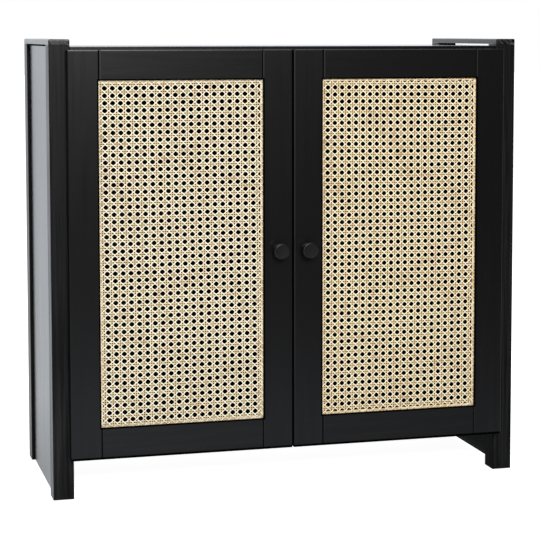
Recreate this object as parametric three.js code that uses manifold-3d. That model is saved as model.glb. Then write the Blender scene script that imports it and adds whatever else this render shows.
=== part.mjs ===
// A black record cabinet with two cane doors, in millimetres: +Z up, the front faces -Y.
// The origin is on the floor, under the middle of the cabinet with its doors shut.
import * as THREE from "three";
import { mergeVertices } from "three/addons/utils/BufferGeometryUtils.js";
import Module from "manifold-3d";

const wasm = await Module();
wasm.setup();

// Cabinet
const cabinetWidth = 820;
const bodyDepth = 330; // front to back over the posts, without the doors
const cabinetHeight = 770;
const fit = 0.2; // clearance where one piece sits against or inside another
const overrun = 4; // how far a cut runs past the face it opens
const edgeEase = 1; // small round along boards and battens

// Posts, with a cap rail over each side's pair
const postWidth = 35;
const postDepth = 38;
const postRound = 2;
const capThick = 9;
const capRound = 3;
const capFootEase = 0.4; // the cap's lower edges, flush with the posts
const spigotDiameter = 10; // a turned spigot joins each post to its cap rail
const spigotHeight = 5;

// Floor glides, nailed into the posts
const glideDiameter = 22;
const glideThick = 2;
const glideRound = 0.6;
const nailDiameter = 3;
const nailLength = 12;

// Side panels, housed in grooves along the posts
const sidePanelThick = 6;
const sidePanelRecess = 4.8; // the panel's face lies this far inside the posts' outer face
const sidePanelLift = 5; // above the floor
const sideGrooveDepth = 8;

// Boards, shelf and the battens under the boards' ends
const boardThick = 16;
const topSlot = 3; // open slot between the top board and the cap rails
const bottomBoardLift = 72;
const shelfFrontGap = 14;
const shelfBackGap = 3;
const battenHeight = 17;

// Back panel
const backThick = 4;
const backInset = 6; // from the posts' rear face
const backGrooveDepth = 6;

// Shelf pins
const pinDiameter = 5;
const pinSocket = 9;
const pinReach = 9;
const pinCollarDiameter = 8;
const pinCollarThick = 1.2;

// Doors: stiles and rails with a front lip that the cane panel lies behind
const doorThick = 18;
const doorGap = 1; // between the doors' backs and the posts' fronts
const doorInset = 28; // from the cabinet's side to the door's outer edge
const meetingGap = 3; // between the two doors
const doorTopReveal = 5.5; // how much of the top board shows over the doors
const doorDrop = 1.5; // how far the doors hang below the bottom board
const stileWidth = 51;
const topRailHeight = 50.5;
const bottomRailHeight = 54;
const doorRound = 1.6;
const jointEase = 1.1; // small round where a rail's face meets a stile's
const lipThick = 3.5;
const rebateWidth = 8;

// Cane panels and the beads that hold them
const caneThick = 2.5;
const caneColumns = 10;
const caneRows = 21;
const caneHoleShare = 0.62; // a hole's width over the pitch of the holes
const caneHemShare = 0.32; // the closed hem along the lips, over the pitch
const beadThick = 9;
const beadEase = 1.5;

// Knobs and their screws
const knobDiameter = 27;
const knobNeckDiameter = 19;
const knobReach = 22;
const knobRimThick = 7;
const knobRound = 1.6;
const knobDish = 0.5; // the face is turned a little hollow inside its rim
const knobFromMiddle = 25;
const knobAboveDoorMiddle = 1;
const knobScrewDiameter = 4;
const knobScrewDepth = 11;
const screwHeadDiameter = 8;
const screwHeadThick = 2.2;

// Concealed hinges: a cup in the door and an arm on the post
const hingeEndSpace = 96; // from a door's end to the middle of its hinge
const cupDiameter = 26;
const cupDepth = 10.5;
const cupWall = 1.5;
const cupFromEdge = 22;
const flangeLength = 52;
const flangeWidth = 16;
const flangeThick = 1.2;
const plateThick = 2.5;
const plateHeight = 46;
const plateDepth = 26;
const plateSetback = 7;
const plateRound = 4;
const armHeight = 11;
const armThick = 6;
const armRound = 2;
const armTipGap = 2; // between the arm's tip and the floor of the cup
const hingeScrewSpacing = 38;
const hingeScrewDiameter = 7;
const hingeScrewThick = 1.2;
const pivotFromDoorBack = 5; // the pivot line lies in the door's outer side

// Magnetic catches and their strike plates
const catchWidth = 40;
const catchHousingWidth = 25;
const catchDepth = 14;
const catchHeight = 12;
const catchEarThick = 3;
const catchEase = 1.5;
const catchScrewDiameter = 6;
const catchScrewThick = 1.5;
const strikeWidth = 34;
const strikeHeight = 10;
const strikeThick = 0.7;

// Facets
const roundSteps = 3; // steps along one rounded corner
const turnSides = 28;
const smallTurnSides = 16;

// Places that follow from the sizes
const frontY = (doorGap + doorThick + knobReach - bodyDepth) / 2;
const rearY = frontY + bodyDepth;
const halfWidth = cabinetWidth / 2;
const postInnerX = halfWidth - postWidth;
const postMiddleX = halfWidth - postWidth / 2;
const frontPostY = frontY + postDepth / 2;
const rearPostY = rearY - postDepth / 2;
const panelInnerX = halfWidth - sidePanelRecess - sidePanelThick;
const capBottomZ = cabinetHeight - capThick;
const boardTopZ = capBottomZ - topSlot;
const topBoardZ = boardTopZ - boardThick;
const backFrontY = rearY - backInset - backThick;
const shelfZ = (bottomBoardLift + boardThick + topBoardZ - boardThick) / 2;
const shelfHalfWidth = postInnerX - pinCollarThick - 2 * fit;
const rearPinY = backFrontY - postDepth / 4;
const pinZ = shelfZ - fit - pinDiameter / 2;

const doorBackY = frontY - doorGap;
const doorFrontY = doorBackY - doorThick;
const doorLift = bottomBoardLift - doorDrop;
const doorTopZ = boardTopZ - doorTopReveal;
const doorOuterX = halfWidth - doorInset;
const doorInnerX = meetingGap / 2;
const doorMiddleX = (doorOuterX + doorInnerX) / 2;
const halfOpening = (doorOuterX - doorInnerX) / 2 - stileWidth;
const openingZ = [doorLift + bottomRailHeight, doorTopZ - topRailHeight];
const hold = rebateWidth - 2 * fit; // how far the cane and its beads reach past the opening
const heldZ = [openingZ[0] - hold, openingZ[1] + hold];
const caneY = doorFrontY + lipThick + fit;
const beadY = caneY + caneThick + fit;
const knobZ = (doorLift + doorTopZ) / 2 + knobAboveDoorMiddle;
const hingeZs = { lower: doorLift + hingeEndSpace, upper: doorTopZ - hingeEndSpace };
const cupX = doorOuterX - cupFromEdge;
const catchX = doorInnerX + (stileWidth - rebateWidth) / 2;
const catchZ = topBoardZ - fit;

function material(color, roughness, metalness = 0) {
  return new THREE.MeshStandardMaterial({ color, roughness, metalness });
}

const finishes = {
  lacquer: () => material(0x1b1b1c, 0.42),
  innerLacquer: () => material(0x222223, 0.55),
  cane: () => material(0xe2c896, 0.6),
  nickel: () => material(0xb9bbbd, 0.3, 0.9),
  zinc: () => material(0xa7a9ab, 0.45, 0.8),
  plastic: () => material(0x2a2a2b, 0.6),
};

// Turns a closed geometry into a solid that can be joined and cut.
function solid(geometry) {
  const bare = geometry.clone();
  bare.deleteAttribute("normal");
  bare.deleteAttribute("uv");
  const merged = mergeVertices(bare);
  return new wasm.Manifold(
    new wasm.Mesh({
      numProp: 3,
      vertProperties: merged.attributes.position.array,
      triVerts: new Uint32Array(merged.index.array),
    }),
  );
}

function geometryOf(made) {
  const { vertProperties, triVerts } = made.getMesh();
  const geometry = new THREE.BufferGeometry();
  geometry.setAttribute("position", new THREE.BufferAttribute(new Float32Array(vertProperties), 3));
  geometry.setIndex(new THREE.BufferAttribute(new Uint32Array(triVerts), 1));
  const flat = geometry.toNonIndexed();
  flat.computeVertexNormals();
  return flat;
}

// An outline through [x, y, round] corners: round is the length taken off both edges of a corner.
function outline(corners) {
  const shape = new THREE.Shape();
  const at = (i) => new THREE.Vector2(...corners[(i + corners.length) % corners.length]);
  corners.forEach(([, , round = 0], i) => {
    const corner = at(i);
    const before = at(i - 1).sub(corner).setLength(round).add(corner);
    const after = at(i + 1).sub(corner).setLength(round).add(corner);
    if (i === 0) shape.moveTo(before.x, before.y);
    else shape.lineTo(before.x, before.y);
    if (round > 0) shape.quadraticCurveTo(corner.x, corner.y, after.x, after.y);
  });
  return shape;
}

function rectangle([x0, x1], [y0, y1], round = 0) {
  return outline([[x0, y0, round], [x1, y0, round], [x1, y1, round], [x0, y1, round]]);
}

// How a flat outline is laid: (y, z) outlines run along x, (z, x) along y and (x, y) along z.
const [unitX, unitY, unitZ] = [[1, 0, 0], [0, 1, 0], [0, 0, 1]].map((v) => new THREE.Vector3(...v));
const layings = {
  x: new THREE.Matrix4().makeBasis(unitY, unitZ, unitX),
  y: new THREE.Matrix4().makeBasis(unitZ, unitX, unitY),
  z: new THREE.Matrix4(),
};

function sweep(shape, axis, [from, to]) {
  const settings = { depth: to - from, bevelEnabled: false, curveSegments: roundSteps };
  const geometry = new THREE.ExtrudeGeometry(shape, settings);
  return solid(geometry.translate(0, 0, from).applyMatrix4(layings[axis]));
}

function block(x, y, z) {
  return sweep(rectangle(x, y), "z", z);
}

// A block with every edge rounded: three rounded sweeps, crossed.
function easedBlock(x, y, z, round, footRound = round, topRound = footRound) {
  const [[x0, x1], [y0, y1], [z0, z1]] = [x, y, z];
  const side = [[y0, z0, footRound], [y1, z0, footRound], [y1, z1, topRound], [y0, z1, topRound]];
  const end = [[z0, x0, footRound], [z1, x0, topRound], [z1, x1, topRound], [z0, x1, footRound]];
  return sweep(rectangle(x, y, round), "z", z)
    .intersect(sweep(outline(side), "x", x))
    .intersect(sweep(outline(end), "y", y));
}

// A solid turned from [radius, height] points about an axis through a place.
function turned(points, axis, [x, y, z], turnedSides = turnSides) {
  const profile = points.map(([radius, height]) => new THREE.Vector2(radius, height));
  const geometry = new THREE.LatheGeometry(profile, turnedSides).rotateX(Math.PI / 2);
  return solid(geometry.applyMatrix4(layings[axis]).translate(x, y, z));
}

function rod(diameter, axis, [from, to], place, rodSides = smallTurnSides) {
  const radius = diameter / 2;
  return turned([[0, from], [radius, from], [radius, to], [0, to]], axis, place, rodSides);
}

// The span from one distance to another out from the middle plane, on one side of the cabinet.
function outwards(side, near, far) {
  return side < 0 ? [-far, -near] : [near, far];
}

const cabinet = new THREE.Group();
const carcass = new THREE.Group();
cabinet.add(carcass);

// Adds a piece to a group: its geometry is kept about its own place in the cabinet.
function add(group, name, finish, made, place) {
  const origin = new THREE.Vector3(...place);
  const geometry = geometryOf(made).translate(...origin.clone().negate());
  const mesh = new THREE.Mesh(geometry, finishes[finish]());
  mesh.name = name;
  mesh.position.copy(origin.sub(group.position));
  group.add(mesh);
}

// A post: grooved for its side panel, bored for a shelf pin and a glide's nail, with a spigot on top.
function post(side, isFront) {
  const y = isFront ? [frontY, frontY + postDepth] : [rearY - postDepth, rearY];
  const middle = [side * postMiddleX, isFront ? frontPostY : rearPostY, 0];
  const pinPlace = [0, isFront ? frontPostY : rearPinY, pinZ];
  const body = easedBlock(
    outwards(side, postInnerX, halfWidth),
    y,
    [glideThick, capBottomZ - fit],
    postRound,
    edgeEase,
    0,
  );
  const spigot = rod(spigotDiameter, "z", [capBottomZ - overrun, capBottomZ + spigotHeight - fit], middle);
  const sideGroove = block(
    outwards(side, panelInnerX - fit, panelInnerX + sidePanelThick + fit),
    isFront ? [y[1] - sideGrooveDepth, y[1] + overrun] : [y[0] - overrun, y[0] + sideGrooveDepth],
    [sidePanelLift - fit, boardTopZ + fit],
  );
  const backGroove = block(
    outwards(side, postInnerX - overrun, postInnerX + backGrooveDepth),
    [backFrontY - fit, backFrontY + backThick + fit],
    [bottomBoardLift - fit, topBoardZ + fit],
  );
  const pinReachIn = outwards(side, postInnerX - overrun, postInnerX + pinSocket + fit);
  const pinHole = rod(pinDiameter + 2 * fit, "x", pinReachIn, pinPlace);
  const nailReachIn = [glideThick - overrun, glideThick + nailLength + fit];
  const nailHole = rod(nailDiameter + 2 * fit, "z", nailReachIn, middle);
  const made = body.add(spigot).subtract(sideGroove).subtract(pinHole).subtract(nailHole);
  return isFront ? made : made.subtract(backGroove);
}

function glide(place) {
  const disc = glideDiameter / 2;
  const nail = nailDiameter / 2;
  const points = [
    [0, 0],
    [disc - glideRound, 0],
    [disc, glideRound],
    [disc, glideThick - fit],
    [nail, glideThick - fit],
    [nail, glideThick + nailLength - nail],
    [0, glideThick + nailLength],
  ];
  return turned(points, "z", place, smallTurnSides);
}

// A shelf pin, with a collar that stops it at the post.
function shelfPin(side, place) {
  const collar = outwards(side, postInnerX - fit - pinCollarThick, postInnerX - fit);
  return rod(pinDiameter, "x", outwards(side, postInnerX - pinReach, postInnerX + pinSocket), place).add(
    rod(pinCollarDiameter, "x", collar, place),
  );
}

for (const [sideName, side] of Object.entries({ left: -1, right: 1 })) {
  for (const place of ["front", "rear"]) {
    const isFront = place === "front";
    const foot = [side * postMiddleX, isFront ? frontPostY : rearPostY, 0];
    add(carcass, `${sideName}_${place}_post`, "lacquer", post(side, isFront), foot);
    add(carcass, `${sideName}_${place}_glide`, "plastic", glide(foot), foot);

    const pin = shelfPin(side, [0, isFront ? frontPostY : rearPinY, pinZ]);
    const pinPlace = [side * postInnerX, isFront ? frontPostY : rearPinY, pinZ];
    add(carcass, `${sideName}_${place}_shelf_pin`, "nickel", pin, pinPlace);
  }

  // The cap rail over the side's two posts, bored for their spigots.
  let cap = easedBlock(
    outwards(side, postInnerX, halfWidth),
    [frontY, rearY],
    [capBottomZ, cabinetHeight],
    postRound,
    capFootEase,
    capRound,
  );
  for (const y of [frontPostY, rearPostY]) {
    const bore = [capBottomZ - overrun, capBottomZ + spigotHeight];
    cap = cap.subtract(rod(spigotDiameter + 2 * fit, "z", bore, [side * postMiddleX, y, 0]));
  }
  add(carcass, `${sideName}_cap_rail`, "lacquer", cap, [side * postMiddleX, 0, capBottomZ]);

  // The side panel, let into the posts' grooves.
  const housing = postDepth - sideGrooveDepth + fit;
  const sidePanel = block(
    outwards(side, panelInnerX, panelInnerX + sidePanelThick),
    [frontY + housing, rearY - housing],
    [sidePanelLift, boardTopZ],
  );
  add(carcass, `${sideName}_side_panel`, "lacquer", sidePanel, [side * panelInnerX, 0, sidePanelLift]);

  // Battens under the ends of the two boards.
  for (const [level, z] of [["top", topBoardZ], ["bottom", bottomBoardLift]]) {
    const section = rectangle(
      [z - fit - battenHeight, z - fit],
      outwards(side, postInnerX + fit, panelInnerX - fit),
      edgeEase,
    );
    const batten = sweep(section, "y", [frontY + postDepth + fit, rearY - postDepth - fit]);
    add(carcass, `${sideName}_${level}_batten`, "innerLacquer", batten, [side * postInnerX, 0, z]);
  }
}

// A board between the posts, notched round them, its ends against the side panels.
function board(z, backY) {
  const [x0, x1] = [postInnerX - fit, panelInnerX - fit];
  const [y0, y1] = [frontY + postDepth + fit, rearY - postDepth - fit];
  const half = [[x0, frontY], [x0, y0], [x1, y0], [x1, y1], [x0, y1], [x0, backY]];
  const plan = outline([...half, ...half.map(([x, y]) => [-x, y]).reverse()]);
  const section = rectangle([frontY, backY], [z, z + boardThick], edgeEase);
  return sweep(plan, "z", [z, z + boardThick]).intersect(sweep(section, "x", [-halfWidth, halfWidth]));
}

add(carcass, "top_board", "lacquer", board(topBoardZ, rearY), [0, 0, topBoardZ]);
const bottomBoard = board(bottomBoardLift, backFrontY - fit);
add(carcass, "bottom_board", "innerLacquer", bottomBoard, [0, 0, bottomBoardLift]);

const shelf = easedBlock(
  [-shelfHalfWidth, shelfHalfWidth],
  [frontY + shelfFrontGap, backFrontY - shelfBackGap],
  [shelfZ, shelfZ + boardThick],
  edgeEase,
);
add(carcass, "shelf", "innerLacquer", shelf, [0, 0, shelfZ]);

const backReach = postInnerX + backGrooveDepth - fit;
const backPanel = block(
  [-backReach, backReach],
  [backFrontY, backFrontY + backThick],
  [bottomBoardLift, topBoardZ - fit],
);
add(carcass, "back_panel", "innerLacquer", backPanel, [0, backFrontY, bottomBoardLift]);

// A stile, from its outer edge at x = out: its rebate for the cane is on the side of the opening.
function stile(side, out, into) {
  const inner = out + into * stileWidth;
  const corners = [
    [out, doorBackY, edgeEase],
    [out, doorFrontY, doorRound],
    [inner, doorFrontY, jointEase],
    [inner, doorFrontY + lipThick],
    [inner - into * rebateWidth, doorFrontY + lipThick],
    [inner - into * rebateWidth, doorBackY],
  ];
  const section = outline(corners.map(([x, y, round]) => [side * x, y, round]));
  const ends = outline([
    [doorBackY, doorLift, edgeEase],
    [doorFrontY, doorLift, doorRound],
    [doorFrontY, doorTopZ, doorRound],
    [doorBackY, doorTopZ, edgeEase],
  ]);
  return sweep(section, "z", [doorLift, doorTopZ]).intersect(sweep(ends, "x", [-halfWidth, halfWidth]));
}

// A rail, from its outer edge at z = out: behind its lip it laps into the stiles' rebates.
function rail(side, out, inner) {
  const into = Math.sign(inner - out);
  const lap = halfOpening + rebateWidth - fit;
  const half = [
    [halfOpening, doorFrontY, jointEase],
    [halfOpening, doorFrontY + lipThick + fit],
    [lap, doorFrontY + lipThick + fit],
    [lap, doorBackY],
  ];
  const corners = [...half, ...half.map(([x, ...rest]) => [-x, ...rest]).reverse()];
  const plan = outline(corners.map(([x, ...rest]) => [side * doorMiddleX + x, ...rest]));
  const section = outline([
    [doorBackY, out, edgeEase],
    [doorFrontY, out, doorRound],
    [doorFrontY, inner, jointEase],
    [doorFrontY + lipThick, inner],
    [doorFrontY + lipThick, inner - into * rebateWidth],
    [doorBackY, inner - into * rebateWidth],
  ]);
  const span = into > 0 ? [out, inner] : [inner, out];
  return sweep(plan, "z", span).intersect(sweep(section, "x", [-halfWidth, halfWidth]));
}

function heldX(side) {
  return [side * doorMiddleX - halfOpening - hold, side * doorMiddleX + halfOpening + hold];
}

// The cane panel: a flat net of diamond holes with a closed hem.
function canePanel(side) {
  const shape = rectangle(heldZ, heldX(side));
  const pitchX = (2 * halfOpening) / (caneColumns + caneHemShare);
  const pitchZ = (openingZ[1] - openingZ[0]) / (caneRows + caneHemShare);
  const [dx, dz] = [(pitchX * caneHoleShare) / 2, (pitchZ * caneHoleShare) / 2];
  for (let row = 0; row < caneRows; row++)
    for (let column = 0; column < caneColumns; column++) {
      const x = side * doorMiddleX + (column - (caneColumns - 1) / 2) * pitchX;
      const z = (openingZ[0] + openingZ[1]) / 2 + (row - (caneRows - 1) / 2) * pitchZ;
      const corners = [[z - dz, x], [z, x + dx], [z + dz, x], [z, x - dx]];
      shape.holes.push(new THREE.Path(corners.map((corner) => new THREE.Vector2(...corner))));
    }
  return sweep(shape, "y", [caneY, caneY + caneThick]);
}

// The beads behind the cane: two upright ones the full height, two across between them.
function beads(side) {
  const [x0, x1] = heldX(side);
  const [z0, z1] = heldZ;
  const y = [beadY, beadY + beadThick];
  const upright = (x) => sweep(rectangle(x, y, beadEase), "z", heldZ);
  const across = (z) => sweep(rectangle(y, z, beadEase), "x", [x0 + hold + fit, x1 - hold - fit]);
  const [outer, inner] = side < 0 ? [x0, x1 - hold] : [x1 - hold, x0];
  return {
    outer_bead: upright([outer, outer + hold]),
    inner_bead: upright([inner, inner + hold]),
    top_bead: across([z1 - hold, z1]),
    bottom_bead: across([z0, z0 + hold]),
  };
}

// A knob, from its face back to the door: a thick rim on a narrower neck, bored for its screw.
function knob(place) {
  const rim = knobDiameter / 2;
  const neck = knobNeckDiameter / 2;
  const bore = knobScrewDiameter / 2 + fit;
  const points = [
    [0, knobDish - knobReach],
    [rim - 2 * knobRound, knobDish - knobReach],
    [rim - knobRound - knobDish, -knobReach],
    [rim - knobRound, -knobReach],
    [rim - knobRound / 3, knobRound / 3 - knobReach],
    [rim, knobRound - knobReach],
    [rim, knobRimThick - knobRound - knobReach],
    [neck + knobRound, knobRimThick + knobRound - knobReach],
    [neck, knobRimThick + 3 * knobRound - knobReach],
    [neck, -fit],
    [bore, -fit],
    [bore, -knobScrewDepth],
    [0, -knobScrewDepth],
  ];
  return turned(points, "y", place);
}

function knobScrew(place) {
  const head = screwHeadDiameter / 2;
  const shank = knobScrewDiameter / 2;
  const tip = 2 * fit - doorThick - knobScrewDepth;
  const points = [
    [0, tip],
    [shank - 2 * fit, tip],
    [shank, tip + 2 * fit],
    [shank, fit],
    [head, fit],
    [head, screwHeadThick / 2],
    [head / 2, screwHeadThick],
    [0, screwHeadThick],
  ];
  return turned(points, "y", place, smallTurnSides);
}

// The two screw heads of a hinge's flange or plate, one over the other.
function screwHeads(axis, span, [x, y, z]) {
  const [lower, upper] = [-1, 1].map((end) =>
    rod(hingeScrewDiameter, axis, span, [x, y, z + (end * hingeScrewSpacing) / 2]),
  );
  return lower.add(upper);
}

// A hinge's cup: a round flanged pan that lies in the door's back.
function hingeCup(place) {
  const [x, y, z] = place;
  const flange = rectangle(
    [z - flangeLength / 2, z + flangeLength / 2],
    [x - flangeWidth / 2, x + flangeWidth / 2],
    flangeWidth / 2,
  );
  return rod(cupDiameter, "y", [-cupDepth, fit + flangeThick], place, turnSides)
    .add(sweep(flange, "y", [y + fit, y + fit + flangeThick]))
    .add(screwHeads("y", [fit + flangeThick / 2, fit + flangeThick + hingeScrewThick], place))
    .subtract(rod(cupDiameter - 2 * cupWall, "y", [cupWall - cupDepth, overrun], place, turnSides));
}

// A hinge's arm: a plate on the post's inner face and a cranked arm that ends inside the cup.
function hingeArm(side, z) {
  const onPost = postInnerX - fit;
  const plateY = [frontY + plateSetback, frontY + plateSetback + plateDepth];
  const plateMiddleY = (plateY[0] + plateY[1]) / 2;
  const tipY = doorBackY - cupDepth + cupWall + armTipGap;
  const [inX, outX] = [cupX - armThick / 2, cupX + armThick / 2];
  const crank = [
    [onPost - plateThick / 2, plateY[1]],
    [outX, plateY[1], armRound],
    [inX, plateMiddleY, armRound],
    [inX, tipY, armRound],
    [outX, tipY, armRound],
    [outX, frontY, armRound],
    [onPost - plateThick / 2, plateY[0]],
  ].map(([x, y, round]) => [side * x, y, round]);
  const plateShape = rectangle(plateY, [z - plateHeight / 2, z + plateHeight / 2], plateRound);
  const heads = outwards(side, onPost - plateThick - hingeScrewThick, onPost - plateThick / 2);
  return sweep(plateShape, "x", outwards(side, onPost - plateThick, onPost))
    .add(sweep(outline(crank), "z", [z - armHeight / 2, z + armHeight / 2]))
    .add(screwHeads("x", heads, [0, plateMiddleY, z]));
}

// A magnetic catch under the top board: a housing between two screwed ears.
function magneticCatch(x) {
  const y = [frontY + fit, frontY + fit + catchDepth];
  const housing = [x - catchHousingWidth / 2, x + catchHousingWidth / 2];
  const ears = [x - catchWidth / 2, x + catchWidth / 2];
  const earZ = catchZ - catchEarThick;
  const [left, right] = [-1, 1].map((end) => {
    const place = [x + (end * (catchHousingWidth + catchWidth)) / 4, (y[0] + y[1]) / 2, earZ];
    return rod(catchScrewDiameter, "z", [-catchScrewThick, catchEarThick / 2], place);
  });
  return easedBlock(housing, y, [catchZ - catchHeight, catchZ], catchEase, edgeEase)
    .add(sweep(rectangle(ears, y, catchEase), "z", [earZ, catchZ]))
    .add(left)
    .add(right);
}

function strikePlate(x, z) {
  const shape = rectangle(
    [z - strikeHeight / 2, z + strikeHeight / 2],
    [x - strikeWidth / 2, x + strikeWidth / 2],
    edgeEase,
  );
  return sweep(shape, "y", [doorBackY + fit, doorBackY + fit + strikeThick]);
}

for (const [sideName, side] of Object.entries({ left: -1, right: 1 })) {
  // A door hangs on a pivot line in its outer side.
  const door = new THREE.Group();
  door.position.set(side * doorOuterX, doorBackY - pivotFromDoorBack, 0);
  cabinet.add(door);
  const hang = (name, finish, made, place) => add(door, `${sideName}_door_${name}`, finish, made, place);

  let outerStile = stile(side, doorOuterX, -1);
  for (const [level, z] of Object.entries(hingeZs)) {
    const place = [side * cupX, doorBackY, z];
    const recess = rod(cupDiameter + 2 * fit, "y", [-cupDepth - fit, overrun], place, turnSides);
    outerStile = outerStile.subtract(recess);
    hang(`${level}_hinge_cup`, "nickel", hingeCup(place), place);
    const armPlace = [side * postInnerX, frontY, z];
    add(carcass, `${sideName}_${level}_hinge_arm`, "nickel", hingeArm(side, z), armPlace);
  }
  hang("outer_stile", "lacquer", outerStile, [side * doorOuterX, doorBackY, doorLift]);

  const knobPlace = [side * knobFromMiddle, doorFrontY, knobZ];
  const screwPlace = [side * knobFromMiddle, doorBackY, knobZ];
  const screwHole = rod(knobScrewDiameter + 3 * fit, "y", [-doorThick - overrun, overrun], screwPlace);
  const innerStile = stile(side, doorInnerX, 1).subtract(screwHole);
  hang("inner_stile", "lacquer", innerStile, [side * doorInnerX, doorBackY, doorLift]);
  hang("knob", "lacquer", knob(knobPlace), knobPlace);
  hang("knob_screw", "nickel", knobScrew(screwPlace), screwPlace);

  const middle = side * doorMiddleX;
  hang("top_rail", "lacquer", rail(side, doorTopZ, openingZ[1]), [middle, doorBackY, openingZ[1]]);
  hang("bottom_rail", "lacquer", rail(side, doorLift, openingZ[0]), [middle, doorBackY, openingZ[0]]);
  hang("cane_panel", "cane", canePanel(side), [middle, caneY, openingZ[0]]);
  for (const [name, bead] of Object.entries(beads(side)))
    hang(name, "innerLacquer", bead, [middle, beadY, openingZ[0]]);

  add(carcass, `${sideName}_catch`, "plastic", magneticCatch(side * catchX), [side * catchX, frontY, catchZ]);
  const strikeZ = catchZ - catchHeight / 2;
  hang("strike_plate", "zinc", strikePlate(side * catchX, strikeZ), [side * catchX, doorBackY, strikeZ]);
}

export default cabinet;
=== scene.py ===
import math
import bpy
import numpy as np
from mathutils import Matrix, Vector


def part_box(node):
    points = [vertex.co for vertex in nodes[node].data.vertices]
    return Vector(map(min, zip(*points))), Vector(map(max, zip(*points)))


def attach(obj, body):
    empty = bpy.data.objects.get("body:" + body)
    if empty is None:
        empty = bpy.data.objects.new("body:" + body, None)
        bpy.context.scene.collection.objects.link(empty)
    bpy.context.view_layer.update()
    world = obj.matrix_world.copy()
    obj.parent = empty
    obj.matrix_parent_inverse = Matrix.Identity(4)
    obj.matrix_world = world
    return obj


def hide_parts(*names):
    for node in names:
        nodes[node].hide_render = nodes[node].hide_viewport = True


# A cabinet of black lacquered wood with two doors of woven cane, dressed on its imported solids.
# Metres, Z up, the doors face -Y. Settings are in millimetres where their notes say so.
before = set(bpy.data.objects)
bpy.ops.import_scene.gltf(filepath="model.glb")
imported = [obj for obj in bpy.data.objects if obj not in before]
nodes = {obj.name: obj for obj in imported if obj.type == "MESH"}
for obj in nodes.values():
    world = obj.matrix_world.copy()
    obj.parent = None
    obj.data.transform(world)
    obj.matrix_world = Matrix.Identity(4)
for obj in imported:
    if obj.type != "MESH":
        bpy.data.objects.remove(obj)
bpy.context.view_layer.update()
scene = bpy.context.scene
scene.view_settings.view_transform = "Standard"
mm = 0.001
print("frame loaded:", len(nodes), "nodes")


cameraLook = {
    "place": (-0.7906, -3.0204, 0.7797),
    "turn": 15.69,     # degrees to the right of straight in
    "dip": 4.72,       # degrees below the horizon
    "lens": 116.85,
    "sensor": 36,      # mm wide
    "shift": (-0.0556, -0.1704),
    "farthest": 60,    # metres
}


def makeCamera(look):
    data = bpy.data.cameras.new("camera")
    data.sensor_width, data.lens = look["sensor"], look["lens"]
    data.shift_x, data.shift_y = look["shift"]
    data.clip_end = look["farthest"]
    camera = bpy.data.objects.new("camera", data)
    camera.location = look["place"]
    camera.rotation_euler = (math.radians(90 - look["dip"]), 0, math.radians(-look["turn"]))
    scene.collection.objects.link(camera)
    scene.camera = camera


makeCamera(cameraLook)
print("camera set")


def linear(colour):
    # each channel c of an sRGB hex value: ((c + 0.055) / 1.055) ** 2.4, or c / 12.92 near black
    parts = [int(colour[i:i + 2], 16) / 255 for i in (1, 3, 5)]
    return tuple(c / 12.92 if c < 0.04045 else ((c + 0.055) / 1.055) ** 2.4 for c in parts) + (1,)


def add(tree, kind, inputs=None, stops=(), **settings):
    # one node: settings are its own options, inputs its sockets' values or what links into them,
    # and stops the places and colours of a colour ramp
    made = tree.nodes.new("ShaderNode" + kind)
    for key, value in settings.items():
        setattr(made, key, value)
    for key, value in (inputs or {}).items():
        if isinstance(value, bpy.types.NodeSocket):
            tree.links.new(value, made.inputs[key])
        else:
            made.inputs[key].default_value = value
    for i in range(2, len(stops)):
        made.color_ramp.elements.new(1.0)
    for mark, (place, colour) in zip(made.color_ramp.elements if stops else (), stops):
        mark.position, mark.color = place, linear(colour)
    return made


def newMaterial(name):
    made = bpy.data.materials.new(name)
    made.use_nodes = True
    made.node_tree.nodes.clear()
    return made, made.node_tree


# Streak and pore are mm across and along the grain. Real pores are 0.2 mm wide and are drawn
# wider so that they show, and so are the streaks. Facing is the share of the reflection that a
# brushed or sanded finish keeps where it is looked at straight on. End is what shows where a
# surface faces that axis: its streak runs up, turned by so many degrees.
lacquerLook = {
    "sprayedSatin": {"colours": ("#070708", "#0b0b0c"), "roughness": (0.26, 0.31), "streak": (9, 160),
                     "pore": (1.6, 26), "relief": 0.15, "ior": 1.34},
    "polishedTop": {"colours": ("#09090a", "#0d0d0e"), "roughness": (0.08, 0.12), "streak": (9, 160),
                    "pore": (1.6, 26), "relief": 0.04, "ior": 1.5, "facing": 0.5,
                    "end": {"axis": "Y", "roughness": (0.24, 0.30), "colours": ("#09090a", "#0d0d0e"),
                            "turn": 0, "streak": (160, 6), "relief": 0.1}},
    "openGrain": {"colours": ("#020202", "#1c1c1c"), "roughness": (0.24, 0.46), "streak": (4.5, 170),
                  "pore": (1.1, 30), "relief": 0.3, "ior": 1.5, "facing": 0.26},
    "capGrain": {"colours": ("#080808", "#151515"), "roughness": (0.16, 0.23), "streak": (2.2, 150),
                 "pore": (1.1, 30), "relief": 0.3, "ior": 1.75, "facing": 0.3,
                 "end": {"axis": "Y", "roughness": (0.28, 0.48), "colours": ("#000000", "#303032"),
                         "turn": 40, "streak": (2.6, 14), "relief": 1.1}},
    "turnedSatin": {"colours": ("#070708", "#0d0d0e"), "roughness": (0.30, 0.36), "streak": (6, 40),
                    "pore": (1.6, 12), "relief": 0.15, "ior": 1.4},
    "smoothPanel": {"colours": ("#0d0d0f", "#121214"), "roughness": (0.18, 0.22), "streak": (14, 200),
                    "pore": (1.6, 26), "relief": 0.08, "ior": 1.56},
    "innerMatt": {"colours": ("#050505", "#090909"), "roughness": (0.24, 0.30), "streak": (5, 160),
                  "pore": (1.6, 26), "relief": 0.3, "ior": 1.22},
}
poreDepth = 0.10                             # mm
peel = {"size": 2.4, "depth": 0.05}          # mm, the sprayed lacquer's own faint ripple
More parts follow.
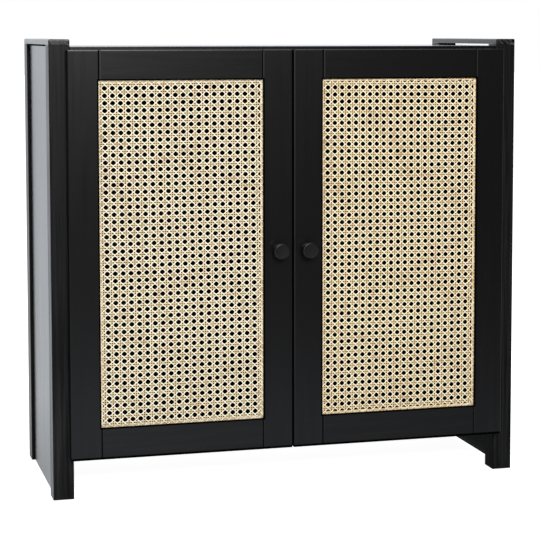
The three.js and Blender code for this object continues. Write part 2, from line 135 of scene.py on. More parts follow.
# on a door's frame, in mm: painted shade lines round the opening, along the foot and at a rail's
# joints, the softness of their edge, and the breadth of an arris with a painted highlight
paintedFrameLines = {"opening": 2.9, "foot": 4.5, "joint": 1.8, "soft": 0.4, "arris": 1.9}
paintedShadeShare = 0.05      # of the reflection and colour that a painted shade line keeps
arrisDullAndHighlight = 1.65      # times the roughness and colour of the face beside it: rougher, and lighter as a painted highlight


def endGrain(tree, coord, look, colour, rough, pore):
    # where the surface faces the look's axis, a turned and stretched noise takes the place of the
    # long grain's colour, roughness and relief
    end = look["end"]
    faced = add(tree, "SeparateXYZ", {"Vector": coord["Normal"]}).outputs[end["axis"]]
    faced = add(tree, "Math", {0: faced}, operation="ABSOLUTE").outputs[0]
    share = add(tree, "MapRange", {"Value": faced, "From Min": 0.25, "From Max": 0.5}).outputs[0]
    across, along = end["streak"]
    spread = [1 / ((along if axis == "Z" else across) * mm) for axis in "XYZ"]
    turned = add(tree, "Mapping", {"Vector": coord["Object"],
                                   "Rotation": (0, math.radians(end["turn"]), 0)}).outputs[0]
    drawn = add(tree, "Mapping", {"Vector": turned, "Scale": spread}).outputs[0]
    ring = add(tree, "TexNoise", {"Vector": drawn, "Scale": 1.0, "Detail": 2.0}).outputs["Fac"]
    dark, light = end["colours"]
    cut = add(tree, "ValToRGB", {"Fac": ring}, stops=[(0.38, dark), (0.66, light)]).outputs["Color"]
    sleek, coarse = end["roughness"]
    dull = add(tree, "MapRange", {"Value": ring, "From Min": 0.4, "From Max": 0.62,
                                  "To Min": sleek, "To Max": coarse}).outputs[0]
    torn = add(tree, "Math", {0: ring, 1: end["relief"] / look["relief"]}, operation="MULTIPLY").outputs[0]
    return (add(tree, "Mix", {0: share, 6: colour, 7: cut}, data_type="RGBA").outputs[2],
            add(tree, "Mix", {0: share, 2: rough, 3: dull}).outputs[0],
            add(tree, "Mix", {0: share, 2: pore, 3: torn}).outputs[0])


def pastShadeLines(tree, place, opening, grain):
    # metres past the nearest painted shade line: the larger of x and z past the line round the
    # opening, or z over the foot's line, or on a rail x inside its joint lines
    west, east, low, high, foot = opening
    margin = paintedFrameLines["opening"] * mm
    middle = ((west + east) / 2, 0, (low + high) / 2)
    half = ((east - west) / 2 + margin, 1, (high - low) / 2 + margin)
    away = add(tree, "VectorMath", {0: place, 1: middle}, operation="SUBTRACT").outputs[0]
    away = add(tree, "VectorMath", {0: away}, operation="ABSOLUTE").outputs[0]
    away = add(tree, "VectorMath", {0: away, 1: half}, operation="SUBTRACT").outputs[0]
    away = add(tree, "SeparateXYZ", {"Vector": away}).outputs
    past = add(tree, "Math", {0: away["X"], 1: away["Z"]}, operation="MAXIMUM").outputs[0]
    height = add(tree, "SeparateXYZ", {"Vector": place}).outputs["Z"]
    over = add(tree, "Math", {0: height, 1: foot + paintedFrameLines["foot"] * mm}, operation="SUBTRACT").outputs[0]
    past = add(tree, "Math", {0: past, 1: over}, operation="MINIMUM").outputs[0]
    if grain == "X":
        edge = -margin - paintedFrameLines["joint"] * mm
        joint = add(tree, "Math", {0: away["X"], 1: -1.0, 2: edge}, operation="MULTIPLY_ADD").outputs[0]
        past = add(tree, "Math", {0: past, 1: joint}, operation="MINIMUM").outputs[0]
    return past


def blackLacquer(kind, grain, opening=None, arris=None):
    # black lacquer on wood. Sprayed satin on sanded doors: near black with a soft tight sheen. Open
    # grain on the brushed posts, whose thin finish shines less: the lines of the ash show as darker
    # and duller streaks. Cap rails with a duller, streaked end grain, a smoother side panel and a
    # polished top, which mirror more, and blacker inside.
    # Opening has the left, right, lower and upper side of a door's opening and the door's foot, along
    # which painted shade lines cut the colour and reflection, and arris is the x where a dull arris
    # with a painted highlight starts.
    look = lacquerLook[kind]
    made, tree = newMaterial(kind + "LacquerAlong" + grain + ("Jointed" if opening else ""))
    coord = add(tree, "TexCoord").outputs
    place = coord["Object"]
    fields = []
    for across, along in (look["streak"], look["pore"]):
        scale = [1 / ((along if axis == grain else across) * mm) for axis in "XYZ"]
        run = add(tree, "Mapping", {"Vector": place, "Scale": scale}).outputs[0]
        fields.append(add(tree, "TexNoise", {"Vector": run, "Scale": 1.0, "Detail": 3.0,
                                             "Roughness": 0.55}).outputs["Fac"])
    streak, pore = fields
    ripple = add(tree, "TexNoise", {"Vector": place, "Scale": 1 / (peel["size"] * mm),
                                    "Detail": 1.0}).outputs["Fac"]
    dark, light = look["colours"]
    colour = add(tree, "ValToRGB", {"Fac": streak}, stops=[(0.36, dark), (0.66, light)]).outputs["Color"]
    sleek, coarse = look["roughness"]
    rough = add(tree, "MapRange", {"Value": streak, "From Min": 0.3, "From Max": 0.7,
                                   "To Min": coarse, "To Max": sleek}).outputs[0]
    if "end" in look:
        colour, rough, pore = endGrain(tree, coord, look, colour, rough, pore)
    facing = look.get("facing", 1.0)
    shine = (facing, facing, facing, 1)
    soft = paintedFrameLines["soft"] * mm
    # painted shade: inside these lines the colour and reflection fall to a small share, standing in for the
    # shadow in gaps and grooves
    if opening:
        past = pastShadeLines(tree, place, opening, grain)
        shine = add(tree, "MapRange", {"Value": past, "From Min": -soft, "From Max": 0.0,
                                       "To Min": paintedShadeShare, "To Max": facing}).outputs[0]
        colour = add(tree, "VectorMath", {0: colour, "Scale": shine}, operation="SCALE").outputs[0]
    # a dull arris: rougher, and its colour lightened into a painted highlight
    if arris is not None:
        sideways = add(tree, "SeparateXYZ", {"Vector": place}).outputs["X"]
        end = arris + paintedFrameLines["arris"] * mm
        dull = add(tree, "MapRange", {"Value": sideways, "From Min": end, "From Max": end + soft,
                                      "To Min": arrisDullAndHighlight, "To Max": 1.0}).outputs[0]
        rough = add(tree, "Math", {0: rough, 1: dull}, operation="MULTIPLY").outputs[0]
        colour = add(tree, "VectorMath", {0: colour, "Scale": dull}, operation="SCALE").outputs[0]
    grooves = add(tree, "Bump", {"Height": pore, "Strength": look["relief"],
                                 "Distance": poreDepth * mm}).outputs[0]
    skin = add(tree, "Bump", {"Height": ripple, "Strength": 0.2, "Distance": peel["depth"] * mm,
                              "Normal": grooves}).outputs[0]
    shader = add(tree, "BsdfPrincipled", {"Base Color": colour, "Roughness": rough, "IOR": look["ior"],
                                          "Specular Tint": shine, "Normal": skin})
    add(tree, "OutputMaterial", {"Surface": shader.outputs[0]})
    return made


# sizes and depths in mm
nickelLook = {"colours": ("#b9b3a8", "#cdc8be"), "cloud": 6, "roughness": (0.22, 0.34),
              "press": 0.5, "depth": 0.03}
zincLook = {"colours": ("#9da2a8", "#b7bbc0"), "crystal": 1.8, "roughness": (0.38, 0.52)}
plasticLook = {"colours": ("#161617", "#202022"), "spark": 0.7, "depth": 0.05, "roughness": 0.56}


def brightNickel(look):
    # nickel plated pressed steel: warm grey, bright, faintly uneven from the press
    made, tree = newMaterial("nickelPlatedSteel")
    place = add(tree, "TexCoord").outputs["Object"]
    cloud = add(tree, "TexNoise", {"Vector": place, "Scale": 1 / (look["cloud"] * mm),
                                   "Detail": 3.0}).outputs["Fac"]
    fine = add(tree, "TexNoise", {"Vector": place, "Scale": 1 / (look["press"] * mm),
                                  "Detail": 2.0}).outputs["Fac"]
    dark, light = look["colours"]
    colour = add(tree, "ValToRGB", {"Fac": cloud}, stops=[(0.3, dark), (0.7, light)]).outputs["Color"]
    sleek, coarse = look["roughness"]
    rough = add(tree, "MapRange", {"Value": cloud, "From Min": 0.3, "From Max": 0.7,
                                   "To Min": sleek, "To Max": coarse}).outputs[0]
    press = add(tree, "Bump", {"Height": fine, "Strength": 0.2, "Distance": look["depth"] * mm}).outputs[0]
    shader = add(tree, "BsdfPrincipled", {"Base Color": colour, "Metallic": 1.0, "Roughness": rough,
                                          "Normal": press})
    add(tree, "OutputMaterial", {"Surface": shader.outputs[0]})
    return made


def zincPlate(look):
    # zinc plated steel: a cooler, duller grey with the patches of its crystals
    made, tree = newMaterial("zincPlatedSteel")
    place = add(tree, "TexCoord").outputs["Object"]
    crystal = add(tree, "TexVoronoi", {"Vector": place, "Scale": 1 / (look["crystal"] * mm)})
    grey = add(tree, "SeparateColor", {"Color": crystal.outputs["Color"]}).outputs[0]
    dark, light = look["colours"]
    colour = add(tree, "ValToRGB", {"Fac": grey}, stops=[(0.1, dark), (0.9, light)]).outputs["Color"]
    sleek, coarse = look["roughness"]
    rough = add(tree, "MapRange", {"Value": grey, "To Min": sleek, "To Max": coarse}).outputs[0]
    shader = add(tree, "BsdfPrincipled", {"Base Color": colour, "Metallic": 1.0, "Roughness": rough})
    add(tree, "OutputMaterial", {"Surface": shader.outputs[0]})
    return made


def mouldedPlastic(look):
    # moulded black polyamide: dull, with the spark-eroded grain of its mould
    made, tree = newMaterial("mouldedPolyamide")
    place = add(tree, "TexCoord").outputs["Object"]
    spark = add(tree, "TexNoise", {"Vector": place, "Scale": 1 / (look["spark"] * mm),
                                   "Detail": 2.0}).outputs["Fac"]
    dark, light = look["colours"]
    colour = add(tree, "ValToRGB", {"Fac": spark}, stops=[(0.3, dark), (0.7, light)]).outputs["Color"]
    grain = add(tree, "Bump", {"Height": spark, "Strength": 0.4, "Distance": look["depth"] * mm}).outputs[0]
    shader = add(tree, "BsdfPrincipled", {"Base Color": colour, "Roughness": look["roughness"],
                                          "IOR": 1.53, "Normal": grain})
    add(tree, "OutputMaterial", {"Surface": shader.outputs[0]})
    return made


caneLook = {
    # strands run from tan to cream, and the right door's roll of webbing is a little warmer
    "skin": {"left": ("#9b7c4a", "#cfb78c", "#fffae4"), "right": ("#9a7642", "#d0b182", "#fff8da")},
    # the darker joints of the rattan stem, about nodeStep mm apart along a strand: they are the
    # few peaks of a noise four times as fine
    "node": "#b07c46", "nodeStep": 260.0,
    "fibre": (0.25, 14.0),             # mm across and along the strand
    "fibreTone": "#b59a70",
    "fibreDepth": 0.06,                # mm
    "roughness": (0.40, 0.52),
}


def rattanSkin(side, look):
    # peeled rattan skin: cream to tan, a waxy gloss, fine fibres along each strand and now and
    # then the darker joint of the stem; each strand has its own tone
    made, tree = newMaterial(side + "RattanSkin")
    strip = add(tree, "UVMap", uv_map="strand").outputs[0]
    tone = add(tree, "Attribute", attribute_name="tone").outputs["Fac"]
    across, along = look["fibre"]
    fine = add(tree, "Mapping", {"Vector": strip,
                                 "Scale": (1 / (across * mm), 1 / (along * mm), 1)}).outputs[0]
    fibre = add(tree, "TexNoise", {"Vector": fine, "Scale": 1.0, "Detail": 2.0}).outputs["Fac"]
    slow = add(tree, "Mapping", {"Vector": strip,
                                 "Scale": (0.0, 4 / (look["nodeStep"] * mm), 1)}).outputs[0]
    joint = add(tree, "TexNoise", {"Vector": slow, "Scale": 1.0, "Detail": 0.0}).outputs["Fac"]
    shades = [(i / 2, shade) for i, shade in enumerate(look["skin"][side])]
    skin = add(tree, "ValToRGB", {"Fac": tone}, stops=shades).outputs["Color"]
    share = add(tree, "MapRange", {"Value": fibre, "From Min": 0.35, "From Max": 0.75,
                                   "To Min": 0.0, "To Max": 0.22}).outputs[0]
    dulled = add(tree, "Mix", {0: share, 6: skin, 7: linear(look["fibreTone"])},
                 data_type="RGBA").outputs[2]
    band = add(tree, "MapRange", {"Value": joint, "From Min": 0.64, "From Max": 0.74,
                                  "To Min": 0.0, "To Max": 0.45}).outputs[0]
    colour = add(tree, "Mix", {0: band, 6: dulled, 7: linear(look["node"])},
                 data_type="RGBA").outputs[2]
    sleek, coarse = look["roughness"]
    rough = add(tree, "MapRange", {"Value": fibre, "From Min": 0.3, "From Max": 0.7,
                                   "To Min": sleek, "To Max": coarse}).outputs[0]
    relief = add(tree, "Bump", {"Height": fibre, "Strength": 0.3,
                                "Distance": look["fibreDepth"] * mm}).outputs[0]
    shader = add(tree, "BsdfPrincipled", {"Base Color": colour, "Roughness": rough, "IOR": 1.5,
                                          "Normal": relief})
    add(tree, "OutputMaterial", {"Surface": shader.outputs[0]})
    return made


rattan = {side: rattanSkin(side, caneLook) for side in ("left", "right")}
# the solid cane panels are replaced, so their own skin never shows
hardware = {"nickel": brightNickel(nickelLook), "zinc": zincPlate(zincLook),
            "plastic": mouldedPlastic(plasticLook), "cane": rattan["left"]}
woods = {}


def wood(*kind):
    # each lacquer is made once for each grain, opening and arris
    if kind not in woods:
        woods[kind] = blackLacquer(*kind)
    return woods[kind]


def doorOpening(side):
    # the left, right, lower and upper side of a door's opening, and the door's foot
    stiles = ("outer", "inner") if side == "left" else ("inner", "outer")
    first, last = [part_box(side + "_door_" + stile + "_stile") for stile in stiles]
    return (first[1][0], last[0][0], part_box(side + "_door_bottom_rail")[1][2],
            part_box(side + "_door_top_rail")[0][2], first[0][2])


def finishOf(name, slot):
    # the lacquer of a node: matt inside the cabinet, and sprayed on the doors
    if slot == "inner_lacquer":
        return "innerMatt"
    for word, kind in (("side_panel", "smoothPanel"), ("cap_rail", "capGrain"), ("post", "openGrain"),
                       ("top_board", "polishedTop")):
        if word in name:
            return kind
    return "sprayedSatin"


def dressNodes():
    # the grain runs along each board, so it follows a node's longest side. A door's rails and stiles
    # get painted shade lines round the opening, along the foot and at the rails' joints. Each rail, and
    # each stile but the leftmost, has a dull arris with a painted highlight on its left, and a rail's
    # lies past its joint line.
    openings = {side: doorOpening(side) for side in ("left", "right")}
    for name, thing in nodes.items():
        holder = thing.material_slots[0]
        slot = holder.material.name.split(".")[0]
        if slot in hardware:
            holder.material = hardware[slot]
            continue
        low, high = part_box(name)
        size = [high[i] - low[i] for i in range(3)]
        grain = "XYZ"[size.index(max(size))]
        opening, arris = None, None
        if "_door_" in name and name.endswith(("stile", "rail")):
            opening = openings[name.split("_")[0]]
            if name.endswith("rail"):
                arris = opening[0] + paintedFrameLines["joint"] * mm
            elif name != "left_door_outer_stile":
                arris = low[0]
        holder.material = wood(finishOf(name, slot), grain, opening, arris)


dressNodes()
print("nodes dressed")


def meshObject(name, points, faces, material, body, smooth=True):
    # faces is a list of each face's point numbers
    data = bpy.data.meshes.new(name)
    data.from_pydata(points.reshape(-1, 3).tolist(), [], faces)
    data.materials.append(material)
    data.polygons.foreach_set("use_smooth", np.full(len(data.polygons), smooth))
    data.update()
    thing = bpy.data.objects.new(name, data)
    scene.collection.objects.link(thing)
    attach(thing, body)
    return thing


# a door's webbing, in mm: its middle, the weave's pitch and start, its lean and slope, and the
# height of its slow waves. Seed shifts the waves and picks the strands' tones.
doors = {
    "left": {"middle": -191.75, "pitch": (13.2, 12.31), "start": (4.88, 6.0),
             "lean": -0.008, "slope": 0.003, "wave": 0.5, "seed": 3},
    "right": {"middle": 191.75, "pitch": (12.6, 12.17), "start": (-2.72, -5.83),
              "lean": -0.002, "slope": 0.0, "wave": 0.9, "seed": 8},
}
caneSheet = {
    "half": (146.7, 296.2), "height": 413.25, "front": -158.6,    # mm
    "sight": (139.25, 288.75),    # mm, the opening's half sizes
    "waves": {"x": (61, 37, 95), "z": (53, 41, 80)},    # mm, the lengths of the webbing's slow waves
    "apart": 37.0,                # mm between the strands in the fibres' pattern
}
# the strands, in mm. Tone is from tan 0 to cream 1, with the spread from strand to strand.
pairLook = {
    "gap": 0.122,      # of a pitch, from a pair's middle to each of its two strands
    "width": 1.56, "thick": 0.72, "lift": 0.34, "tone": (0.31, 0.1), "clear": 1.2,
    "glint": 0.9,      # a painted highlight: a pair goes pale where the diagonals cross on it
}
diagonalLook = {"width": 1.62, "thick": 0.72, "lift": 0.78, "tone": (1.0, 0.08), "clear": 1.6,
                "steps": 6}    # stations to a cell


def layOut(door, a, b):
    # lattice steps a, b to mm on the sheet: pitch times step, a small lean, and slow waves as
    # hand-fed webbing has, wave * (0.6 sin(v / slow + turn) + 0.4 sin(u / mid + v / far + turn))
    # in x and the like in z
    step = door["pitch"]
    u, v = door["start"][0] + step[0] * a, door["start"][1] + step[1] * b
    wave, turn = door["wave"], door["seed"]
    slow, mid, far = caneSheet["waves"]["x"]
    x = u + door["lean"] * v + wave * (np.sin(v / slow + turn) * 0.6
                                       + np.sin(u / mid + v / far + turn) * 0.4)
    slow, mid, far = caneSheet["waves"]["z"]
    z = v + door["slope"] * u + wave * (np.sin(u / slow + turn * 2) * 0.6
                                        + np.sin(v / mid - u / far + turn) * 0.3)
    return x, z


def strandSet(x, z, lift, keep, look, tones, edges=(0, 0), glint=0.0):
    # n strands of m stations: at each a four-point section (edge, crown, edge, back) square to
    # the strand's run, from centre plus or minus across times half the width. A tone for each
    # strand, and edges says how far its two edges go from that tone to cream; its crown goes a
    # third of the way. Glint, a painted highlight, says how far the whole section goes to cream at
    # each station.
    run = np.stack([np.gradient(x, axis=1), np.zeros_like(x), np.gradient(z, axis=1)], -1)
    run /= np.linalg.norm(run, axis=-1, keepdims=True)
    across = np.stack([run[..., 2], np.zeros_like(x), -run[..., 0]], -1) * look["width"] / 2
    out = np.array([0, -1, 0]) * look["thick"] / 2
    centre = np.stack([x, caneSheet["front"] - lift, z], -1)
    section = np.stack([centre - across, centre + out, centre + across, centre - out], 2)
    n, m = x.shape
    index = np.arange(n * m * 4).reshape(n, m, 4)
    span = keep[:, :-1] & keep[:, 1:]
    near, far = index[:, :-1], index[:, 1:]
    side = np.stack([near, np.roll(near, -1, 2), np.roll(far, -1, 2), far], -1)
    before, after = np.pad(span, ((0, 0), (1, 0))), np.pad(span, ((0, 0), (0, 1)))
    faces = [side[span].reshape(-1, 4), index[after & ~before][:, ::-1], index[before & ~after]]
    length = np.hypot(np.diff(x, axis=1, prepend=x[:, :1]), np.diff(z, axis=1, prepend=z[:, :1]))
    offset = np.arange(n)[:, None] * caneSheet["apart"]
    sideways = np.broadcast_to(np.array([-0.5, 0, 0.5, 0]) * look["width"], (n, m, 4)) + offset[..., None]
    onward = np.repeat((np.cumsum(length, 1) + offset)[..., None], 4, 2)
    uv = np.stack([sideways, onward], -1) * mm
    pale = np.array([edges[0], max(edges) / 3, edges[1], 0])
    pale = np.maximum(pale, np.broadcast_to(glint, m)[:, None])
    shade = tones[:, None, None] * (1 - pale) + pale
    return section.reshape(-1, 3), np.concatenate(faces), uv.reshape(-1, 2), shade.ravel()


def paintStrands(thing, uvs, tones):
    # the places along each strand and its tone, for each point
    layer = thing.data.uv_layers.new(name="strand")
    corners = np.empty(len(thing.data.loops), int)
    thing.data.loops.foreach_get("vertex_index", corners)
    layer.data.foreach_set("uv", uvs[corners].astype(np.float32).ravel())
    tint = thing.data.attributes.new("tone", "FLOAT", "POINT")
    tint.data.foreach_set("value", tones.astype(np.float32))


def joinStrands(name, sets, door, side):
    # one mesh of the sets of strands, without the points that lie past the sheet
    points, faces, uvs, tones = [list(part) for part in zip(*sets)]
    starts = np.cumsum([0] + [len(part) for part in points[:-1]])
    faces = np.concatenate([part + start for part, start in zip(faces, starts)])
    points, uvs, tones = map(np.concatenate, (points, uvs, tones))
    used = np.zeros(len(points), bool)
    used[faces] = True
    renumber = np.cumsum(used) - 1
    points = (points[used] + [door["middle"], 0, caneSheet["height"]]) * mm
    thing = meshObject(name, points, renumber[faces].tolist(), rattan[side], side + "_door")
    paintStrands(thing, uvs[used], tones[used])
    return thing


def onSheet(x, z, clear):
    # the stations that lie more than clear inside the sheet's edge
    halfX, halfZ = caneSheet["half"]
    return (np.abs(x) < halfX - clear) & (np.abs(z) < halfZ - clear)


def weavePairs(door, reach, dice):
    # upright and level pairs, which cross half a step off the eyes. A strand has five stations to
    # a cell: at a crossing it goes under one strand and over the other, a gap before and after
    # the crossing's middle, and it is level from there to the next.
    gap, pairs = pairLook["gap"], []
    bends = np.array([-2 * gap, -gap, gap, 2 * gap, 0.5])
    bob = np.array([0, -1, 1, 0, 0]) * pairLook["lift"]
    for along, limit, other in (("z", reach[1], reach[0]), ("x", reach[0], reach[1])):
        lines = np.arange(-other, other) + 0.5
        stations = (np.arange(-limit, limit)[:, None] + 0.5 + bends).ravel()
        for hand in (-1, 1):
            fixed = np.repeat((lines + hand * gap)[:, None], len(stations), 1)
            moving = np.repeat(stations[None], len(lines), 0)
            a, b = (fixed, moving) if along == "z" else (moving, fixed)
            x, z = layOut(door, a, b)
            lift = np.tile(bob, (len(lines), 2 * limit)) * hand * (1 if along == "z" else -1)
            tones = np.clip(dice.normal(*pairLook["tone"], len(lines)), 0, 1)
            outer = (1, 0) if (hand > 0) == (along == "x") else (0, 1)    # the edge beside the eyes
            # the painted highlight: each pair goes pale at its middle station, where the diagonals cross
            glint = np.tile([0, 0, 0, 0, pairLook["glint"]], 2 * limit)
            keep = onSheet(x, z, pairLook["clear"])
            pairs.append(strandSet(x, z, lift, keep, pairLook, tones, outer, glint))
    return pairs


def weaveDiagonals(door, reach, dice):
    # lines b = hand * a + k + 0.5, over one pair and under the next: lift * cos(2 pi a)
    diagonals, fine = [], diagonalLook["steps"]
    for hand in (-1, 1):
        offsets = np.arange(-reach[0] - reach[1], reach[0] + reach[1]) + 0.5
        steps = np.arange(-reach[0] * fine, reach[0] * fine + 1) / fine
        a = np.repeat(steps[None], len(offsets), 0)
        b = hand * a + offsets[:, None]
        x, z = layOut(door, a, b)
        lift = -hand * diagonalLook["lift"] * np.cos(2 * np.pi * a)
        tones = np.clip(dice.normal(*diagonalLook["tone"], len(offsets)), 0, 1)
        keep = onSheet(x, z, diagonalLook["clear"])
        diagonals.append(strandSet(x, z, lift, keep, diagonalLook, tones))
    return diagonals


def weaveCane(side, door):
    dice = np.random.default_rng(door["seed"])
    spare = 3    # cells past the sheet's edge, so that its leaning and waving corners are filled
    reach = [int(half / step) + spare for half, step in zip(caneSheet["half"], door["pitch"])]
    woven = joinStrands(side + "CanePairs", weavePairs(door, reach, dice), door, side)
    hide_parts(side + "_door_cane_panel")
    joinStrands(side + "CaneDiagonals", weaveDiagonals(door, reach, dice), door, side)


tapeLook = {
    "sight": 3.6,                  # mm of the tape that shows inside the opening
    "slack": 0.6,                  # mm that its edge may stray from that
    "faces": (-157.42, -157.2),    # mm, its front and back y
    "steps": (90, 180),            # along a level and an upright side
    "breadth": 6, "step": 3.1,     # mm across and along it in the fibres' pattern
}


def edgeTape(side, door):
    # a flat ring behind the weave: an outer rectangle under the frame and an inner edge that
    # strays by 0.35 sin(0.9 n + seed) + 0.25 sin(2.3 n) mm at the n-th station round the four
    # sides, with a tone of 0.55 + 0.1 sin(0.21 n) + 0.1 sin(0.83 n)
    sight, half = np.array(caneSheet["sight"]), np.array(caneSheet["half"])
    level, upright = tapeLook["steps"]
    top = np.stack([np.linspace(-1, 1, level, endpoint=False), np.full(level, 1.0)], -1)
    right = np.stack([np.full(upright, 1.0), np.linspace(1, -1, upright, endpoint=False)], -1)
    path = np.concatenate([top, right, -top, -right])
    n = len(path)
    step = np.arange(n)
    stray = 0.35 * np.sin(step * 0.9 + door["seed"]) + 0.25 * np.sin(step * 2.3)
    outward = np.sign(np.where(np.abs(path) > 0.999, path, 0))    # the sides that a station lies on
    inner = path * sight - outward * (tapeLook["sight"] + stray)[:, None]
    limit = sight - tapeLook["sight"] + tapeLook["slack"]
    inner, outer = np.clip(inner, -limit, limit), path * half
    front, back = tapeLook["faces"]
    ring = np.stack([np.insert(outer, 1, front, 1), np.insert(inner, 1, front, 1),
                     np.insert(inner, 1, back, 1), np.insert(outer, 1, back, 1)], 1)
    index = np.arange(n * 4).reshape(n, 4)
    after = np.roll(index, -1, 0)
    faces = np.stack([index, np.roll(index, -1, 1), np.roll(after, -1, 1), after], -1).reshape(-1, 4)
    points = (ring.reshape(-1, 3) + [door["middle"], 0, caneSheet["height"]]) * mm
    thing = meshObject(side + "CaneEdgeTape", points, faces.tolist(), rattan[side], side + "_door",
                       smooth=False)
    breadth = np.array([0, 1, 1, 0]) * tapeLook["breadth"]
    uvs = np.stack([np.tile(breadth, n), np.repeat(step * tapeLook["step"], 4)], -1) * mm
    shade = 0.55 + 0.1 * np.sin(step * 0.21) + 0.1 * np.sin(step * 0.83)
    paintStrands(thing, uvs, np.repeat(shade, 4))


for side, door in doors.items():
    weaveCane(side, door)
    edgeTape(side, door)
print("cane woven")


# mm: the knobs' x and z, their y from the door to the front, and their radii and rounds
knobLook = {
    "places": {"left": (-25.0, 412.5), "right": (25.0, 412.5)},
    "door": -163.5, "back": -178.5, "front": -185.5, "neck": 9.5, "radius": 13.5,
    "foot": 0.3, "hollow": 1.6, "shoulder": 0.9, "rim": 1.9, "dish": 0.35, "turns": 128,
}


def arc(centre, radius, start, end, count):
    # points of a quarter round: centre + radius * (cos, sin) from start to end degrees
    angle = np.radians(np.linspace(start, end, count))
    return np.stack([centre[0] + radius * np.cos(angle), centre[1] + radius * np.sin(angle)], -1)


def turnKnob(side, look):
    x, z = look["places"][side]
    neck, wide, door, back, front = [look[name] for name in ("neck", "radius", "door", "back", "front")]
    foot, hollow, shoulder, rim = [look[name] for name in ("foot", "hollow", "shoulder", "rim")]
    share = np.linspace(0.94, 0, 12)    # the face's rings, as shares of its radius
    # radius and y from the door outward: foot, neck, hollow under the head, shoulder, rim, and
    # a face dished by dish * (1 - share ** 2)
    profile = np.concatenate([
        [(0, door), (neck - foot, door)], arc((neck - foot, door - foot), foot, 90, 0, 4),
        arc((neck + hollow, back + hollow), hollow, 180, 270, 8),
        arc((wide - shoulder, back - shoulder), shoulder, 90, 0, 6),
        arc((wide - rim, front + rim), rim, 0, -90, 10),
        np.stack([(wide - rim) * share, front + look["dish"] * (1 - share ** 2)], -1)])
    r, depth = profile[1:-1].T
    turns = look["turns"]
    angle = np.arange(turns) * 2 * np.pi / turns
    rings = np.stack([x + r[:, None] * np.cos(angle), np.repeat(depth[:, None], turns, 1),
                      z + r[:, None] * np.sin(angle)], -1)
    points = np.concatenate([rings.reshape(-1, 3), [(x, door, z), (x, profile[-1, 1], z)]]) * mm
    index = np.arange(len(r) * turns).reshape(len(r), turns)
    ahead = np.roll(index, -1, 1)
    quads = np.stack([index[:-1], ahead[:-1], ahead[1:], index[1:]], -1).reshape(-1, 4)
    base = np.stack([ahead[0], index[0], np.full(turns, len(points) - 2)], -1)
    face = np.stack([index[-1], ahead[-1], np.full(turns, len(points) - 1)], -1)
    knob = meshObject(side + "Knob", points, quads.tolist() + base.tolist() + face.tolist(),
                      wood("turnedSatin", "Z"), side + "_door")
    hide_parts(side + "_door_knob")


for side in doors:
    turnKnob(side, knobLook)
print("knobs turned")


# metres, degrees and watts
studio = {
    "floor": "#f2f2f0", "floorGlow": 0.95,
    "tint": (0.92, 0.955, 1.0, 1),      # the white paper is a little cool in reflections
    # painted levels that the floor glows with in reflections, by its depth: dim far before the cabinet
    "paper": [(-4.0, 0.07), (-2.6, 0.16), (-1.8, 0.44), (-1.2, 0.85), (-0.6, 1.25), (0.1, 0.8), (0.44, 0.9),
              (0.7, 1.0), (4.0, 1.0)],
    # nearer than the first y the paper dims to the right, from the first x down to this level at
    # the second x, and beyond the second y it doesn't
    "paperSide": {"y": (-0.6, 0.2), "x": (-0.3, 0.55), "level": 0.38},
    # a painted shadow under the cabinet: a dark box in the floor's reflections, which fades over 0.03 m
    # at its sides and 0.12 m in front and behind
    "under": {"x": (-0.41, 0.43), "y": (-0.38, 1.6), "level": 0.05, "fade": (0.03, 0.12)},
    "grid": {"count": 161, "reach": 30, "growth": 6},
    "sweep": (-0.1, 0.6, 0.05, 1.05),   # the world in reflections: dim in front, white behind
    "room": 0.35,                       # the world's level for diffuse light
    "key": {"turn": -4, "rise": 24, "far": 3.6, "size": 1.2, "power": 128, "target": (0, -0.14, 0.42)},
    "top": {"place": (0.1, 0.5, 3.2), "size": 2.4, "power": 40, "target": (0, 0, 0.6)},
}


def boxShare(place, ends, fade):
    # 1 inside a box's two ends along one axis, 0 outside, and a straight fade inside each end
    return np.clip((place - ends[0]) / fade, 0, 1) * np.clip((ends[1] - place) / fade, 0, 1)


def paperLevel(x, y):
    # the painted level at each place of the floor: the depth's own, less to the right in front of
    # the cabinet, and a painted shadow, dark in the box under it
    side, under = studio["paperSide"], studio["under"]
    front = np.interp(y, side["y"], (1, 0))
    dim = 1 - front * (1 - np.interp(x, side["x"], (1, side["level"])))
    box = boxShare(x, under["x"], under["fade"][0]) * boxShare(y, under["y"], under["fade"][1])
    return np.interp(y, *zip(*studio["paper"])) * dim * (1 - box) + under["level"] * box


def whitePaper():
    # white paper: it glows white to the camera and still takes the cabinet's shadow, and in
    # reflections it glows at its painted levels, with a painted shadow under the cabinet
    made, tree = newMaterial("whiteFloor")
    path = add(tree, "LightPath").outputs
    seen = add(tree, "Math", {0: path["Is Camera Ray"], 1: path["Is Transmission Ray"]},
               operation="MAXIMUM").outputs[0]
    glow = add(tree, "Math", {0: seen, 1: studio["floorGlow"]}, operation="MULTIPLY").outputs[0]
    light = add(tree, "Emission", {"Color": (1, 1, 1, 1), "Strength": glow}).outputs[0]
    matt = add(tree, "BsdfDiffuse", {"Color": linear(studio["floor"])}).outputs[0]
    shown = add(tree, "AddShader", {0: light, 1: matt}).outputs[0]
    paper = add(tree, "Attribute", attribute_name="mirrored").outputs["Fac"]
    mirrored = add(tree, "Emission", {"Color": studio["tint"], "Strength": paper}).outputs[0]
    both = add(tree, "MixShader", {0: path["Is Glossy Ray"], 1: shown, 2: mirrored})
    add(tree, "OutputMaterial", {"Surface": both.outputs[0]})
    made.cycles.emission_sampling = "NONE"    # its glow is only for rays that see it
    return made


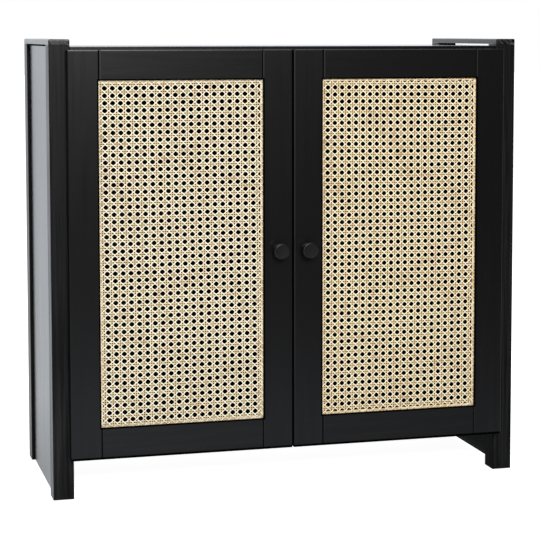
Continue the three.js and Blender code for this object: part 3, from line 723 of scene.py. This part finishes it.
def layFloor(grid):
    # a square grid whose steps grow as reach * sinh(growth * share) / sinh(growth), from 11 mm
    # under the cabinet to metres at the rim
    share = np.linspace(-1, 1, grid["count"])
    step = grid["reach"] * np.sinh(grid["growth"] * share) / np.sinh(grid["growth"])
    x, y = np.meshgrid(step, step)
    index = np.arange(x.size).reshape(x.shape)
    quads = np.stack([index[:-1, :-1], index[:-1, 1:], index[1:, 1:], index[1:, :-1]], -1)
    data = bpy.data.meshes.new("floor")
    points = np.stack([x, y, 0 * x], -1).reshape(-1, 3)
    data.from_pydata(points.tolist(), [], quads.reshape(-1, 4).tolist())
    level = data.attributes.new("mirrored", "FLOAT", "POINT")
    level.data.foreach_set("value", paperLevel(x, y).astype(np.float32).ravel())
    floor = bpy.data.objects.new("floor", data)
    scene.collection.objects.link(floor)
    data.materials.append(whitePaper())


def lightWorld():
    # white to the camera, a plain level for diffuse light, and in reflections white behind the
    # cabinet and dim in front of it, as in a studio with a white sweep
    world = bpy.data.worlds.new("studio")
    scene.world = world
    world.cycles.sampling_method = "NONE"     # a smooth sky, and each kind of ray keeps its own level
    world.use_nodes = True
    tree = world.node_tree
    tree.nodes.clear()
    path = add(tree, "LightPath").outputs
    seen = add(tree, "Math", {0: path["Is Camera Ray"], 1: path["Is Transmission Ray"]},
               operation="MAXIMUM").outputs[0]
    level = add(tree, "Math", {0: seen, 1: studio["room"]}, operation="MAXIMUM").outputs[0]
    plain = add(tree, "Background", {"Color": (1, 1, 1, 1), "Strength": level}).outputs[0]
    depth = add(tree, "SeparateXYZ", {"Vector": add(tree, "TexCoord").outputs["Generated"]}).outputs["Y"]
    front, behind, dim, white = studio["sweep"]
    shine = add(tree, "MapRange", {"Value": depth, "From Min": front, "From Max": behind, "To Min": dim,
                                   "To Max": white}, interpolation_type="SMOOTHSTEP").outputs[0]
    sweep = add(tree, "Background", {"Color": studio["tint"], "Strength": shine}).outputs[0]
    sky = add(tree, "MixShader", {0: path["Is Glossy Ray"], 1: plain, 2: sweep}).outputs[0]
    add(tree, "OutputWorld", {"Surface": sky})


def softbox(name, place, look):
    # a square lamp turned to its target, out of the camera's sight
    data = bpy.data.lights.new(name, "AREA")
    data.shape, data.size, data.energy = "SQUARE", look["size"], look["power"]
    lamp = bpy.data.objects.new(name, data)
    lamp.location = place
    lamp.visible_camera = False
    away = np.array(place) - np.array(look["target"])
    tilt = math.acos(away[2] / np.linalg.norm(away))
    lamp.rotation_euler = (tilt, 0, math.atan2(away[1], away[0]) + math.pi / 2)
    scene.collection.objects.link(lamp)


def keyPlace(look):
    # far from its target, turned from straight in front and raised
    turn, rise = math.radians(look["turn"]), math.radians(look["rise"])
    x, y, z = look["target"]
    return (x + look["far"] * math.sin(turn) * math.cos(rise),
            y - look["far"] * math.cos(turn) * math.cos(rise), z + look["far"] * math.sin(rise))


layFloor(studio["grid"])
lightWorld()
softbox("keyLight", keyPlace(studio["key"]), studio["key"])
softbox("topLight", studio["top"]["place"], studio["top"])
print("studio lit")
